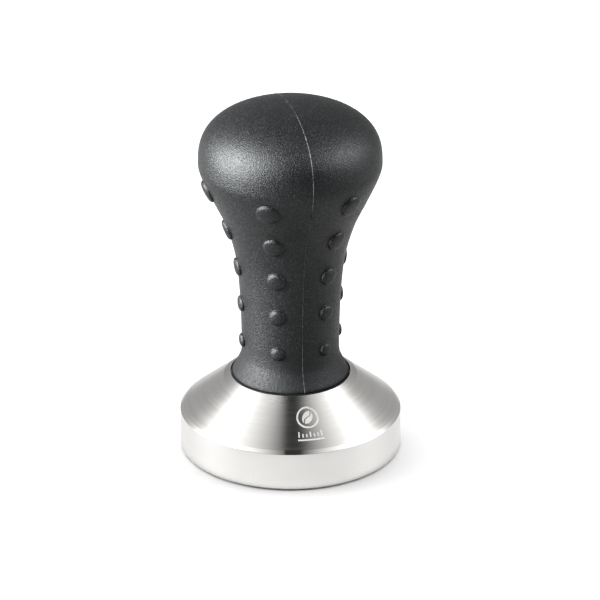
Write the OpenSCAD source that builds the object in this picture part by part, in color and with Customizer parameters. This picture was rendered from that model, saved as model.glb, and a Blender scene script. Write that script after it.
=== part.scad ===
// Espresso tamper: a turned steel base with a screwed-on, rubber-covered handle.
// Millimetres. +Z is up and the tamping face lies on z = 0, centred on the origin.
// The front of the object faces -Y. The handle unscrews to the left, seen from above.

/* [Base] */
// Diameter of the tamping face, which fits a portafilter basket
base_d = 58; // [49:0.5:62]
// Height of the vertical band
band_h = 9.9; // [8:0.1:12]
// Radius of the lower edge of the band
edge_r = 0.2; // [0.1:0.05:0.5]
// Width of the polished chamfer above the band
chamfer_w = 0.85; // [0.4:0.05:1.5]
// Radius of the rim at the top of the cone
rim_r = 16; // [15.9:0.1:18]
// Height of the rim, where the handle starts
rim_z = 20.4; // [19:0.1:22]

/* [Seat] */
// Depth of the recess that the handle sits in
recess_depth = 0.8; // [0.5:0.1:1.2]
// Wall of the rim round the recess
rim_wall = 0.25; // [0.2:0.05:0.5]
// Gap between the washer and the wall of the recess
washer_gap = 0.2; // [0.1:0.05:0.4]
// Inner radius of the washer
washer_hole_r = 6.5; // [6:0.5:9]

/* [Handle] */
// Radius of the flared foot
foot_r = 15.2; // [14.5:0.1:15.3]
// Radius of the neck where it is narrowest
neck_r = 12.8; // [12:0.1:13.5]
// Largest radius of the head
head_r = 23.7; // [21:0.1:25]
// Height of the largest radius
head_z = 79.4; // [76:0.1:84]
// Height of the top of the head
total_h = 94.9; // [92:0.1:100]
// Thickness of the soft skin over the core
skin_t = 1.6; // [1.2:0.1:2]
// Wall of the hollow core
core_wall = 2.8; // [2:0.1:3.2]
// Radius that rounds the edge of the foot
foot_edge_r = 0.3; // [0.1:0.1:0.4]

/* [Nubs] */
// Columns of nubs round the handle
nub_columns = 6; // [4:1:8]
// Angle of the first column, from the front towards the left
nub_turn = 15; // [0:1:30]
// Diameter of the smallest nub, at the bottom of a column
nub_d_low = 3.6; // [3:0.1:4.5]
// Diameter of the largest nub, at the top of a column
nub_d_high = 6.2; // [5:0.1:7]
// Height that a nub stands proud of the skin
nub_proud = 1.0; // [0.6:0.1:1.3]

/* [Screw joint] */
// Outer radius of the stud's thread
stud_r = 4.95; // [4.9:0.01:4.97]
// Pitch of the thread
pitch = 1.5; // [1.45:0.05:1.6]
// Height of the floor of the blind hole in the base
hole_floor_z = 8; // [6:0.5:8]
// Length of the stud
stud_l = 25; // [25:0.5:26]
// Width across the flats of the hex socket in the stud
hex_af = 5; // [4:0.5:5]
// Depth of the hex socket
hex_depth = 5; // [4:0.5:6]
// Length of the brass insert
insert_l = 12; // [12:0.5:13]

/* [Hidden] */
$fn = 96;

base_r = base_d / 2;
seat_z = rim_z - recess_depth;
recess_r = rim_r - rim_wall;
washer_r = recess_r - washer_gap;
thread_nominal_r = 5;
hole_clearance = 0.05;
hole_r = thread_nominal_r + hole_clearance;
stud_top_z = hole_floor_z + stud_l;
handle_h = head_z - rim_z;

// Stations of the handle's outline: share of the height from seat to head,
// and share of the flare from neck to foot, or of the swell from neck to head.
flare = [[0.0085, 1], [0.045, 0.5], [0.095, 0.04]];
swell = [[0.2, 0], [0.4, 0.04], [0.57, 0.14], [0.72, 0.37], [0.84, 0.67], [0.94, 0.915], [1, 1]];
stations = concat(
    [for (s = flare) [rim_z + s[0] * handle_h, neck_r + s[1] * (foot_r - neck_r)]],
    [for (s = swell) [rim_z + s[0] * handle_h, neck_r + s[1] * (head_r - neck_r)]]);
// Exponents of the superellipse that crowns the head
crown_up = 2.75;
crown_out = 2.15;
// Points along one stretch between two stations, and along the crown
steps_each = 4;
crown_steps = 18;

// Heights of the nubs of one column
nub_heights = [30.6, 41.1, 51.6, 62.3, 73.5];
// Depth that a nub reaches into the skin, and the shares that give its domed top
nub_root = 1.2;
nub_shoulder_h = 0.4;
nub_top_r = 0.7;
// Length over which a slope is measured, and the overlap of a cut past a face
dz = 0.1;
over = 1;

// ---- outline of the handle ----

// Slope of the outline at station i
function slope(i) =
    i == len(stations) - 1 ? 0 :
    let (a = stations[max(i - 1, 0)], b = stations[i + 1])
    (b[1] - a[1]) / (b[0] - a[0]);

// Radius at share t of the stretch that starts at station i (cubic Hermite curve)
function stretch_r(i, t) =
    let (a = stations[i], b = stations[i + 1], h = b[0] - a[0])
    (2 * t^3 - 3 * t^2 + 1) * a[1] + (t^3 - 2 * t^2 + t) * h * slope(i)
    + (3 * t^2 - 2 * t^3) * b[1] + (t^3 - t^2) * h * slope(i + 1);

// The stretch that holds height z, and the radius there
function stretch_at(z) = max([for (i = [0 : len(stations) - 2]) stations[i][0] <= z ? i : 0]);
function handle_r(z) =
    let (i = stretch_at(z), a = stations[i][0], b = stations[i + 1][0])
    stretch_r(i, (z - a) / (b - a));

// Outline from height z_from up to the head, moved in by a depth
function side_points(depth, z_from) = concat(
    [[handle_r(z_from) - depth, z_from]],
    [for (i = [0 : len(stations) - 2], k = [1 : steps_each])
        let (a = stations[i][0], b = stations[i + 1][0], t = k / steps_each, z = a + (b - a) * t)
        if (z > z_from + 2 * dz) [stretch_r(i, t) - depth, z]]);

// Crown above the head's largest radius, moved in by a depth
function crown_points(depth) =
    let (up = total_h - head_z - depth, out = head_r - depth)
    [for (k = [1 : crown_steps])
        let (a = 90 * k / crown_steps)
        [k == crown_steps ? 0 : out * cos(a)^(2 / crown_out), head_z + up * sin(a)^(2 / crown_up)]];

// Points of an arc about a centre
function arc_points(centre, r, a_from, a_to, count) =
    [for (k = [0 : count]) let (a = a_from + (a_to - a_from) * k / count)
        centre + r * [cos(a), sin(a)]];

// ---- screw thread, as one closed skin ----

turn_steps = 36;
tooth_points = 4;

function on_circle(r, z, j) = [r * cos(360 * j / turn_steps), r * sin(360 * j / turn_steps), z];

// Share of the full thread depth at step j of turn t: the thread fades in and out
function fade(t, j, turns) =
    t == 0 ? min(1, 2 * j / turn_steps) :
    t == turns - 1 ? min(1, 2 * (turn_steps - j) / turn_steps) : 1;

// Helical rows of one tooth profile, given as [height, radius] from root to root
function thread_rows(profile, z_first, turns) =
    let (root = profile[0][1])
    [for (t = [0 : turns - 1], p = profile, j = [0 : turn_steps - 1])
        on_circle(root + (p[1] - root) * fade(t, j, turns),
                  z_first + p[0] + pitch * (t + j / turn_steps), j)];

// The last tooth's points where its turn closes
function closing_points(profile, z_first, turns) =
    [for (p = profile) on_circle(profile[0][1], z_first + p[0] + pitch * turns, 0)];

// Faces between the rows, and between rings given as [first index] lists
function strip(a0, a1, b1, b0) = [[a0, b1, a1], [a0, b0, b1]];
function ring_faces(low, high) =
    [for (j = [0 : turn_steps - 1], f = strip(low + j, low + (j + 1) % turn_steps,
        high + (j + 1) % turn_steps, high + j)) f];
function thread_faces(first, turns) =
    let (rows = turns * tooth_points, closing = first + rows * turn_steps,
         right = function (k, j) j < turn_steps - 1 ? first + k * turn_steps + j + 1
             : k + tooth_points < rows ? first + (k + tooth_points) * turn_steps
             : closing + k + tooth_points - rows)
    [for (k = [0 : rows - 2], j = [0 : turn_steps - 1],
          f = strip(first + k * turn_steps + j, right(k, j), right(k + 1, j),
                    first + (k + 1) * turn_steps + j)) f];

// Faces that join a plain ring below to the first row of the thread
function lower_join(ring, first) =
    let (n = turn_steps, last = ring + n - 1,
         seam = concat([ring], [for (k = [0 : tooth_points]) first + k * n], [first + n - 1]))
    concat(
        [for (j = [0 : n - 2], f = strip(ring + j, ring + j + 1, first + j + 1, first + j)) f],
        [for (k = [0 : len(seam) - 2]) [last, seam[k + 1], seam[k]]]);

// Faces that join the last row of the thread to a plain ring above
function upper_join(first, turns, ring) =
    let (n = turn_steps, rows = turns * tooth_points, top = first + (rows - 1) * n,
         closing = first + rows * n,
         seam = concat([ring], [for (k = [tooth_points - 1 : -1 : 0]) closing + k], [top, top + 1]))
    concat(
        [for (j = [1 : n - 2], f = strip(top + j, top + j + 1, ring + j + 1, ring + j)) f],
        strip(top + n - 1, closing + tooth_points - 1, ring, ring + n - 1),
        [for (k = [0 : len(seam) - 2]) [ring + 1, seam[k + 1], seam[k]]]);

function ring(r, z) = [for (j = [0 : turn_steps - 1]) on_circle(r, z, j)];

// A hexagon with as many points as a ring, for the socket
function hex_ring(af, z) =
    let (side = turn_steps / 6)
    [for (j = [0 : turn_steps - 1])
        let (k = floor(j / side), t = (j - k * side) / side, r = af / sqrt(3),
             a = [cos(60 * k), sin(60 * k)], b = [cos(60 * k + 60), sin(60 * k + 60)])
        [r * (a[0] + (b[0] - a[0]) * t), r * (a[1] + (b[1] - a[1]) * t), z]];

// Tooth of the stud and ridge of the insert: heights from the middle, and radii.
// 60 degree flanks, with play so that the two never touch while they turn.
root_r = 4.1;
bore_r = 4.19;
groove_r = 5.05;
flank = tan(30);
tooth_tip = 0.06;
ridge_tip = 0.17;
tooth_base = tooth_tip + (stud_r - root_r) * flank;
ridge_base = ridge_tip + (groove_r - bore_r) * flank;
tooth = [[-tooth_base, root_r], [-tooth_tip, stud_r], [tooth_tip, stud_r], [tooth_base, root_r]];
ridge = [[-ridge_base, groove_r], [-ridge_tip, bore_r], [ridge_tip, bore_r], [ridge_base, groove_r]];

// First tooth of the stud; the first ridge of the insert lies half a pitch off
stud_lead = 0.4;
stud_first_z = hole_floor_z + stud_lead + tooth_base;
stud_turns = floor((stud_l - 2 * stud_lead - 2 * tooth_base) / pitch);
insert_z = rim_z + 0.3;
insert_top_z = insert_z + insert_l;
insert_lead = 0.3;
insert_first_z = stud_first_z + pitch / 2
    + pitch * ceil((insert_z + insert_lead + ridge_base - stud_first_z - pitch / 2) / pitch);
insert_turns = floor((insert_top_z - insert_lead - ridge_base - insert_first_z) / pitch);

// Outside of the insert: two knurled bands with a groove between, from the top down
insert_r = 7;
insert_edge = 0.4;
insert_groove = 0.8;
groove_half = 0.7;
insert_mouth_r = 5.4;
insert_mid_z = insert_z + insert_l / 2;
insert_outside = [
    [insert_r - insert_edge, insert_top_z], [insert_r, insert_top_z - insert_edge],
    [insert_r, insert_mid_z + groove_half + insert_groove],
    [insert_r - insert_groove, insert_mid_z + groove_half],
    [insert_r - insert_groove, insert_mid_z - groove_half],
    [insert_r, insert_mid_z - groove_half - insert_groove],
    [insert_r, insert_z + insert_edge], [insert_r - insert_edge, insert_z]];

// ---- sub-parts ----

// Turned stainless base: band, polished chamfer, brushed cone, rim and recess
module tamper_base() {
    rim_edge = 0.1;
    hole_bevel = 0.6;
    color("gainsboro") rotate_extrude() polygon(concat(
        [[0, 0]],
        arc_points([base_r - edge_r, edge_r], edge_r, -90, 0, 4),
        [[base_r, band_h], [base_r - chamfer_w, band_h + chamfer_w],
         [rim_r, rim_z - rim_edge], [rim_r - rim_edge, rim_z],
         [recess_r, rim_z], [recess_r, seat_z],
         [hole_r + hole_bevel, seat_z], [hole_r, seat_z - hole_bevel],
         [hole_r, hole_floor_z], [0, hole_floor_z]]));
}

// Steel grub screw, held in the base with thread lock, that carries the handle
module threaded_stud() {
    bevel_r = 3.6;
    socket_z = stud_top_z - hex_depth;
    first = turn_steps;
    rows = stud_turns * tooth_points;
    top_ring = first + rows * turn_steps + tooth_points;
    points = concat(
        ring(bevel_r, hole_floor_z),
        thread_rows(tooth, stud_first_z, stud_turns),
        closing_points(tooth, stud_first_z, stud_turns),
        ring(bevel_r, stud_top_z),
        hex_ring(hex_af, stud_top_z),
        hex_ring(hex_af, socket_z));
    faces = concat(
        [[for (j = [0 : turn_steps - 1]) j]],
        lower_join(0, first),
        thread_faces(first, stud_turns),
        upper_join(first, stud_turns, top_ring),
        ring_faces(top_ring, top_ring + turn_steps),
        ring_faces(top_ring + turn_steps, top_ring + 2 * turn_steps),
        [[for (j = [turn_steps - 1 : -1 : 0]) top_ring + 2 * turn_steps + j]]);
    color("dimgray") polyhedron(points, faces, 4);
}

// Elastomer ring that the handle is drawn down on; it shows as a thin black line
module seat_washer() {
    color("#151515") rotate_extrude() polygon([
        [washer_hole_r, seat_z], [washer_r, seat_z], [washer_r, rim_z], [washer_hole_r, rim_z]]);
}

// Brass insert with an internal thread, moulded into the core
module threaded_insert() {
    first = turn_steps;
    rows = insert_turns * tooth_points;
    top_ring = first + rows * turn_steps + tooth_points;
    outside = len(insert_outside);
    points = concat(
        ring(insert_mouth_r, insert_z),
        thread_rows(ridge, insert_first_z, insert_turns),
        closing_points(ridge, insert_first_z, insert_turns),
        ring(insert_mouth_r, insert_top_z),
        [for (p = insert_outside, q = ring(p[0], p[1])) q]);
    upward = concat(
        lower_join(0, first),
        thread_faces(first, insert_turns),
        upper_join(first, insert_turns, top_ring),
        [for (k = [0 : outside - 1],
              f = ring_faces(top_ring + k * turn_steps, top_ring + (k + 1) * turn_steps)) f],
        ring_faces(top_ring + outside * turn_steps, 0));
    // The thread lines a hole, so its faces turn the other way
    color("goldenrod") polyhedron(points, [for (f = upward) [f[0], f[2], f[1]]], 4);
}

// Rigid hollow core with four ribs in the head and a pocket for the insert
module core_body() {
    pocket_top_z = stud_top_z + 2;
    web = 3;
    floor_z = pocket_top_z + web;
    stud_clear_r = 5.4;
    rib_t = 2;
    rib_h = 18;
    rib_top_z = head_z - 4;
    rib_z = rib_top_z - rib_h;
    hub_r = 3;
    color("#2a2a2c") difference() {
        rotate_extrude() polygon(concat(
            [[0, rim_z], [foot_r - skin_t, rim_z]],
            side_points(skin_t, stations[0][0]),
            [[0, head_z]]));
        rotate_extrude() polygon(concat(
            [[0, rim_z - over], [insert_r - insert_edge, rim_z - over]],
            [for (k = [len(insert_outside) - 1 : -1 : 0]) insert_outside[k]],
            [[stud_clear_r, insert_top_z], [stud_clear_r, pocket_top_z], [0, pocket_top_z]]));
        difference() {
            rotate_extrude() polygon(concat(
                [[0, floor_z]],
                side_points(skin_t + core_wall, floor_z),
                [[head_r - skin_t - core_wall, head_z + over], [0, head_z + over]]));
            for (a = [0, 90]) rotate(a + 45)
                translate([-head_r, -rib_t / 2, rib_z]) cube([2 * head_r, rib_t, rib_h]);
            translate([0, 0, rib_z]) cylinder(r = hub_r, h = rib_h);
        }
    }
}

// Domed cap, welded on to close the core, with a spigot that centres it
module core_cap() {
    spigot_h = 3;
    spigot_t = 2;
    spigot_gap = 0.1;
    spigot_r = handle_r(head_z - spigot_h) - skin_t - core_wall - spigot_gap;
    color("#303033") rotate_extrude() polygon(concat(
        [[head_r - skin_t, head_z]],
        crown_points(skin_t),
        [for (k = [crown_steps - 1 : -1 : 0]) crown_points(skin_t + core_wall)[k]],
        [[spigot_r - spigot_t, head_z], [spigot_r - spigot_t, head_z - spigot_h],
         [spigot_r, head_z - spigot_h], [spigot_r, head_z]]));
}

// One flattened nub, standing along the surface normal at height z
module nub(z, d) {
    tilt = atan((handle_r(z + dz) - handle_r(z - dz)) / (2 * dz));
    r = d / 2;
    translate([handle_r(z), 0, z]) rotate([0, 90 + tilt, 0]) rotate_extrude($fn = 32) polygon([
        [0, -nub_root], [r, -nub_root], [r, nub_proud * nub_shoulder_h],
        [r * nub_top_r, nub_proud], [0, nub_proud]]);
}

// Soft moulded skin over the whole core, with its columns of nubs
module grip_skin() {
    rows = len(nub_heights);
    color("#2b2d30") union() {
        rotate_extrude() polygon(concat(
            [[foot_r - skin_t, rim_z]],
            arc_points([foot_r - foot_edge_r, rim_z + foot_edge_r], foot_edge_r, -90, 0, 3),
            side_points(0, stations[0][0]),
            crown_points(0),
            [for (k = [crown_steps - 1 : -1 : 0]) crown_points(skin_t)[k]],
            [for (k = [len(side_points(skin_t, stations[0][0])) - 1 : -1 : 0])
                side_points(skin_t, stations[0][0])[k]]));
        for (c = [0 : nub_columns - 1], i = [0 : rows - 1])
            rotate(-90 - nub_turn + 360 * c / nub_columns)
                nub(nub_heights[i], nub_d_low + (nub_d_high - nub_d_low) * i / (rows - 1));
    }
}

tamper_base();
threaded_stud();
seat_washer();
threaded_insert();
core_body();
core_cap();
grip_skin();
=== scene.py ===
"""Espresso tamper: the looks. The frame comes from the CAD, and every piece rides on a CAD body.

Lengths in the design values are millimetres; meshes are built in metres.
An angle round the axis is 0 at the front (-Y) and grows towards +X.
"""
import math

import bpy
import numpy as np
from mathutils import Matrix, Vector, noise


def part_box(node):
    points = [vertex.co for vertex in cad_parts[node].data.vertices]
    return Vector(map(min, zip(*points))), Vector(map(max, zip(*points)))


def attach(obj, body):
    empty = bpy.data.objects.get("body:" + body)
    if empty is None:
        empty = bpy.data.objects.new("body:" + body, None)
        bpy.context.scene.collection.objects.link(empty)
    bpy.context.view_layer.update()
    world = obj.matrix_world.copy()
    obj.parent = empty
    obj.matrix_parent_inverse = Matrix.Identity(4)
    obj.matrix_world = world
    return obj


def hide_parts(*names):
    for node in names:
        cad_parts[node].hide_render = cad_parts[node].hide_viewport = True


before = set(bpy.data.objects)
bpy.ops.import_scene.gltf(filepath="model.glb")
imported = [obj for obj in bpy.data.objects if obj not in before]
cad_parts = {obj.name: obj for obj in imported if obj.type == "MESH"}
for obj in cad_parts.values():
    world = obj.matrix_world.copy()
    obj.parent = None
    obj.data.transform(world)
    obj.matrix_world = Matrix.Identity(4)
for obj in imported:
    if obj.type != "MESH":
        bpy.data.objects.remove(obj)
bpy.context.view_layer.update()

MM = 0.001


# ---- sizes, from the frame ----

def top_of(node):
    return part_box(node)[1][2] / MM


def bottom_of(node):
    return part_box(node)[0][2] / MM


def radius_of(node):
    low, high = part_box(node)
    return max(high[0], high[1], -low[0], -low[1]) / MM


BASE_R = round(radius_of("tamper_base"), 2)
RIM_Z = top_of("tamper_base")
SEAT_Z = bottom_of("seat_washer")
TOTAL_H = top_of("grip_skin")
HEAD_R = radius_of("grip_skin")
CORE_R = radius_of("core_body")
HEAD_Z = top_of("core_body")
SKIN_T = HEAD_R - CORE_R
WASHER_R = radius_of("seat_washer")
STUD_R = radius_of("threaded_stud")
STUD_Z = bottom_of("threaded_stud")
STUD_TOP = top_of("threaded_stud")
INSERT_R = radius_of("threaded_insert")
INSERT_Z = bottom_of("threaded_insert")
INSERT_TOP = top_of("threaded_insert")


# ---- mesh helpers ----

def add_mesh(name, verts, faces, materials, face_material=None, sharp=35):
    """A smooth-shaded object from millimetre points, with edges over an angle kept sharp."""
    verts = np.asarray(verts, dtype=float) * MM
    used = np.unique(np.concatenate([np.asarray(f, dtype=int) for f in faces]))
    renumber = np.full(len(verts), -1)
    renumber[used] = np.arange(len(used))
    mesh = bpy.data.meshes.new(name)
    mesh.from_pydata(verts[used].tolist(), [], [[int(renumber[i]) for i in f] for f in faces])
    for material in materials:
        mesh.materials.append(material)
    if face_material is not None:
        mesh.polygons.foreach_set("material_index", face_material)
    mesh.shade_smooth()
    mesh.set_sharp_from_angle(angle=math.radians(sharp))
    mesh.update()
    obj = bpy.data.objects.new(name, mesh)
    bpy.context.scene.collection.objects.link(obj)
    return obj


def finish_piece(obj, body, node):
    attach(obj, body)
    if node:
        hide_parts(node)


def at(radius, angle, z):
    """A point from its distance to the axis, its angle from the front in radians, and its height."""
    return (radius * math.sin(angle), -radius * math.cos(angle), z)


def rounded(points, radii, steps=4):
    """An open outline with its corners rounded: a radius of 0 leaves a corner as it is."""
    out = []
    for i, (p, radius) in enumerate(zip(points, radii)):
        p = Vector(p)
        if radius == 0 or i in (0, len(points) - 1):
            out.append(tuple(p))
            continue
        to_a = Vector(points[i - 1]) - p
        to_b = Vector(points[i + 1]) - p
        half = to_a.angle(to_b) / 2
        reach = min(radius / math.tan(half), to_a.length * 0.49, to_b.length * 0.49)
        a = p + to_a.normalized() * reach
        b = p + to_b.normalized() * reach
        for k in range(steps + 1):
            t = k / steps
            out.append(tuple(a * (1 - t) ** 2 + p * 2 * t * (1 - t) + b * t * t))
    return out


def lathe(name, outline, steps, materials, material_of=None, sharp=35):
    """A closed solid of revolution. Outline points are (radius, height); radius 0 makes a pole."""
    verts, rings = [], []
    for r, z in outline:
        if r < 1e-6:
            rings.append([len(verts)])
            verts.append((0, 0, z))
        else:
            rings.append(list(range(len(verts), len(verts) + steps)))
            verts += [at(r, 2 * math.pi * j / steps, z) for j in range(steps)]
    faces, zones = [], []
    closed = len(rings[0]) > 1
    pairs = [(i, i + 1) for i in range(len(rings) - 1)] + ([(len(rings) - 1, 0)] if closed else [])
    for i, k in pairs:
        a, b = rings[i], rings[k]
        if len(a) == 1 and len(b) == 1:
            continue
        zone = material_of(i) if material_of else 0
        for j in range(steps):
            n = (j + 1) % steps
            if len(a) == 1:
                faces.append((a[0], b[n], b[j]))
            elif len(b) == 1:
                faces.append((a[j], a[n], b[0]))
            else:
                faces.append((a[j], a[n], b[n], b[j]))
            zones.append(zone)
    return add_mesh(name, verts, faces, materials, zones, sharp)


# ---- material helpers ----

def new_material(name):
    material = bpy.data.materials.new(name)
    material.use_nodes = True
    nodes = material.node_tree.nodes
    return material, nodes, material.node_tree.links, nodes["Principled BSDF"]


def math_node(nodes, links, operation, a, b=None):
    node = nodes.new("ShaderNodeMath")
    node.operation = operation
    for socket, value in zip(node.inputs, (a, b)):
        if value is None:
            continue
        if isinstance(value, (int, float)):
            socket.default_value = value
        else:
            links.new(value, socket)
    return node.outputs[0]


def object_coords(nodes):
    return nodes.new("ShaderNodeTexCoord").outputs["Object"]


def object_axes(nodes, links):
    """Object coordinates in metres, whole and split into x, y and z."""
    coords = object_coords(nodes)
    split = nodes.new("ShaderNodeSeparateXYZ")
    links.new(coords, split.inputs[0])
    x, y, z = split.outputs
    return coords, x, y, z


def sum_of_squares(nodes, links, x, y):
    return math_node(nodes, links, "ADD", math_node(nodes, links, "MULTIPLY", x, x),
                     math_node(nodes, links, "MULTIPLY", y, y))


def noise_of(nodes, links, vector, scale, detail=2.0, roughness=0.5):
    node = nodes.new("ShaderNodeTexNoise")
    node.inputs["Scale"].default_value = scale
    node.inputs["Detail"].default_value = detail
    node.inputs["Roughness"].default_value = roughness
    links.new(vector, node.inputs["Vector"])
    return node.outputs["Fac"]


def map_range(nodes, links, value, low, high, to_low, to_high):
    node = nodes.new("ShaderNodeMapRange")
    links.new(value, node.inputs["Value"])
    for key, number in zip(("From Min", "From Max", "To Min", "To Max"), (low, high, to_low, to_high)):
        node.inputs[key].default_value = number
    return node.outputs[0]


def mix_colour(nodes, links, factor, a, b):
    node = nodes.new("ShaderNodeMix")
    node.data_type = "RGBA"
    links.new(factor, node.inputs["Factor"])
    for socket, value in ((node.inputs[6], a), (node.inputs[7], b)):
        if isinstance(value, tuple):
            socket.default_value = value
        else:
            links.new(value, socket)
    return node.outputs[2]


def bump(nodes, links, height, distance, strength, before=None):
    node = nodes.new("ShaderNodeBump")
    node.inputs["Distance"].default_value = distance
    node.inputs["Strength"].default_value = strength
    links.new(height, node.inputs["Height"])
    if before is not None:
        links.new(before, node.inputs["Normal"])
    return node.outputs[0]


def combine(nodes, links, x, y, z):
    node = nodes.new("ShaderNodeCombineXYZ")
    for socket, value in zip(node.inputs, (x, y, z)):
        if isinstance(value, (int, float)):
            socket.default_value = value
        else:
            links.new(value, socket)
    return node.outputs[0]


# ---- materials ----

# Lines follow radius + 1.7 z, so that they show on flat faces, on the cone and on the band.
Z_IN_LINES = 1.7


def turned_steel(name, colour, roughness, across, along, groove, anisotropic, spread=0.05, tone=0.94,
                 edge=1.0):
    """Metal with fine lines round the axis.

    across, along: noise scales per metre, over the lines and along them. groove: the lines' depth in
    metres. spread: how far the roughness varies. tone: darkness of the lines. edge: grazing tint.
    """
    material, nodes, links, shader = new_material(name)
    coords, x, y, z = object_axes(nodes, links)
    radius = math_node(nodes, links, "SQRT", sum_of_squares(nodes, links, x, y))
    depth = math_node(nodes, links, "ADD", radius, math_node(nodes, links, "MULTIPLY", z, Z_IN_LINES))
    lines = noise_of(nodes, links, combine(
        nodes, links,
        math_node(nodes, links, "MULTIPLY", x, along),
        math_node(nodes, links, "MULTIPLY", y, along),
        math_node(nodes, links, "MULTIPLY", depth, across)), 1.0, 3.0, 0.6)
    broad = noise_of(nodes, links, coords, 90.0, 2.0)
    shader.inputs["Metallic"].default_value = 1.0
    shader.inputs["Anisotropic"].default_value = anisotropic
    shader.inputs["Anisotropic Rotation"].default_value = 0.25
    if anisotropic > 0:
        tangent = nodes.new("ShaderNodeTangent")
        tangent.direction_type = "RADIAL"
        tangent.axis = "Z"
        links.new(tangent.outputs[0], shader.inputs["Tangent"])
    shade = mix_colour(nodes, links, map_range(nodes, links, lines, 0.3, 0.7, 0.0, 1.0),
                      tuple(c * tone for c in colour) + (1.0,), tuple(colour) + (1.0,))
    links.new(shade, shader.inputs["Base Color"])
    shader.inputs["Specular Tint"].default_value = (edge, edge, edge, 1.0)
    rough = math_node(nodes, links, "ADD",
                      map_range(nodes, links, lines, 0.2, 0.8, roughness - spread, roughness + spread),
                      map_range(nodes, links, broad, 0.3, 0.7, -0.02, 0.02))
    links.new(rough, shader.inputs["Roughness"])
    links.new(bump(nodes, links, lines, groove, 0.6), shader.inputs["Normal"])
    return material


# Colours and places on the handle's skin; heights are object z in metres.
SKIN_DARK = (0.0008, 0.0010, 0.0011, 1.0)
SKIN_PALE = (0.0050, 0.0055, 0.0058, 1.0)
FLECK_COLOUR = (0.068, 0.072, 0.074, 1.0)
# The parting line's pale colour is a painted highlight, where the flash catches the light.
SEAM_HIGHLIGHT_COLOUR = (0.085, 0.087, 0.085, 1.0)
# Towards the foot the specks thin out, which paints shade on the foot.
FLECK_FOOT_SHADE = (0.024, 0.035)
FOOT_FADE = (0.024, 0.033)
SEAM_HIGHLIGHT_FOOT = (0.024, 0.036)
SEAM_HIGHLIGHT_HEAD = (0.0740, 0.0765)
SEAM_HIGHLIGHT_NECK = 0.12


def speckle(nodes, links, coords, z):
    """Pale specks, picked at random, and rarer at the foot, where their thinning is painted shade that
    darkens the foot.
    """
    cells = nodes.new("ShaderNodeTexVoronoi")
    cells.inputs["Scale"].default_value = 3800.0
    links.new(coords, cells.inputs["Vector"])
    fleck = map_range(nodes, links, cells.outputs["Distance"], 0.12, 0.42, 1.0, 0.0)
    picked = map_range(nodes, links, noise_of(nodes, links, coords, 1600.0, 1.0), 0.42, 0.60, 0.0, 1.0)
    fleck = math_node(nodes, links, "MULTIPLY", fleck, picked)
    # Fewer specks low down: painted shade on the foot.
    return math_node(nodes, links, "MULTIPLY", fleck, map_range(nodes, links, z, *FLECK_FOOT_SHADE, 0.2, 1.0))


def seam_highlight(nodes, links, coords, x, y, z, seam_angle):
    """Painted highlight along the parting line, where its flash catches the light: most on the head,
    some at the foot, least on the neck.
    """
    across = math_node(nodes, links, "ABSOLUTE", math_node(
        nodes, links, "ADD",
        math_node(nodes, links, "MULTIPLY", x, math.cos(seam_angle)),
        math_node(nodes, links, "MULTIPLY", y, math.sin(seam_angle))))
    line = map_range(nodes, links, across, 0.04 * MM, 0.10 * MM, 1.0, 0.0)
    patchy = map_range(nodes, links, noise_of(nodes, links, coords, 800.0, 2.0), 0.42, 0.60, 0.10, 1.0)
    up = math_node(nodes, links, "MAXIMUM", map_range(nodes, links, z, *SEAM_HIGHLIGHT_HEAD, SEAM_HIGHLIGHT_NECK, 1.0),
                   map_range(nodes, links, z, *SEAM_HIGHLIGHT_FOOT, 0.8, SEAM_HIGHLIGHT_NECK))
    return math_node(nodes, links, "MULTIPLY", line, math_node(nodes, links, "MULTIPLY", patchy, up))


def soft_touch(name, seam_angle):
    """Charcoal soft-touch skin: a spark-eroded grain with pale specks, and a painted highlight along the
    parting line.
    """
    material, nodes, links, shader = new_material(name)
    coords, x, y, z = object_axes(nodes, links)
    grain = noise_of(nodes, links, coords, 2100.0, 2.0, 0.7)
    fine = noise_of(nodes, links, coords, 4200.0, 1.0)
    cloud = noise_of(nodes, links, coords, 130.0, 3.0, 0.6)
    body = mix_colour(nodes, links, map_range(nodes, links, grain, 0.32, 0.68, 0.0, 1.0),
                      SKIN_DARK, SKIN_PALE)
    fleck = speckle(nodes, links, coords, z)
    body = mix_colour(nodes, links, math_node(nodes, links, "MULTIPLY", fleck, 0.6), body, FLECK_COLOUR)
    line = seam_highlight(nodes, links, coords, x, y, z, seam_angle)
    # Painted highlight along the parting line.
    body = mix_colour(nodes, links, line, body, SEAM_HIGHLIGHT_COLOUR)
    links.new(body, shader.inputs["Base Color"])
    rough = math_node(nodes, links, "ADD",
                      map_range(nodes, links, grain, 0.3, 0.7, 0.55, 0.33),
                      map_range(nodes, links, cloud, 0.3, 0.7, -0.03, 0.03))
    foot = map_range(nodes, links, z, *FOOT_FADE, 0.17, 0.0)
    links.new(math_node(nodes, links, "ADD", rough, foot), shader.inputs["Roughness"])
    shader.inputs["Specular IOR Level"].default_value = 0.34
    rough_height = math_node(nodes, links, "ADD", grain, math_node(nodes, links, "MULTIPLY", fine, 0.5))
    tooled = bump(nodes, links, rough_height, 0.0001, 1.0)
    links.new(bump(nodes, links, cloud, 0.0001, 0.12, tooled), shader.inputs["Normal"])
    return material


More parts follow.
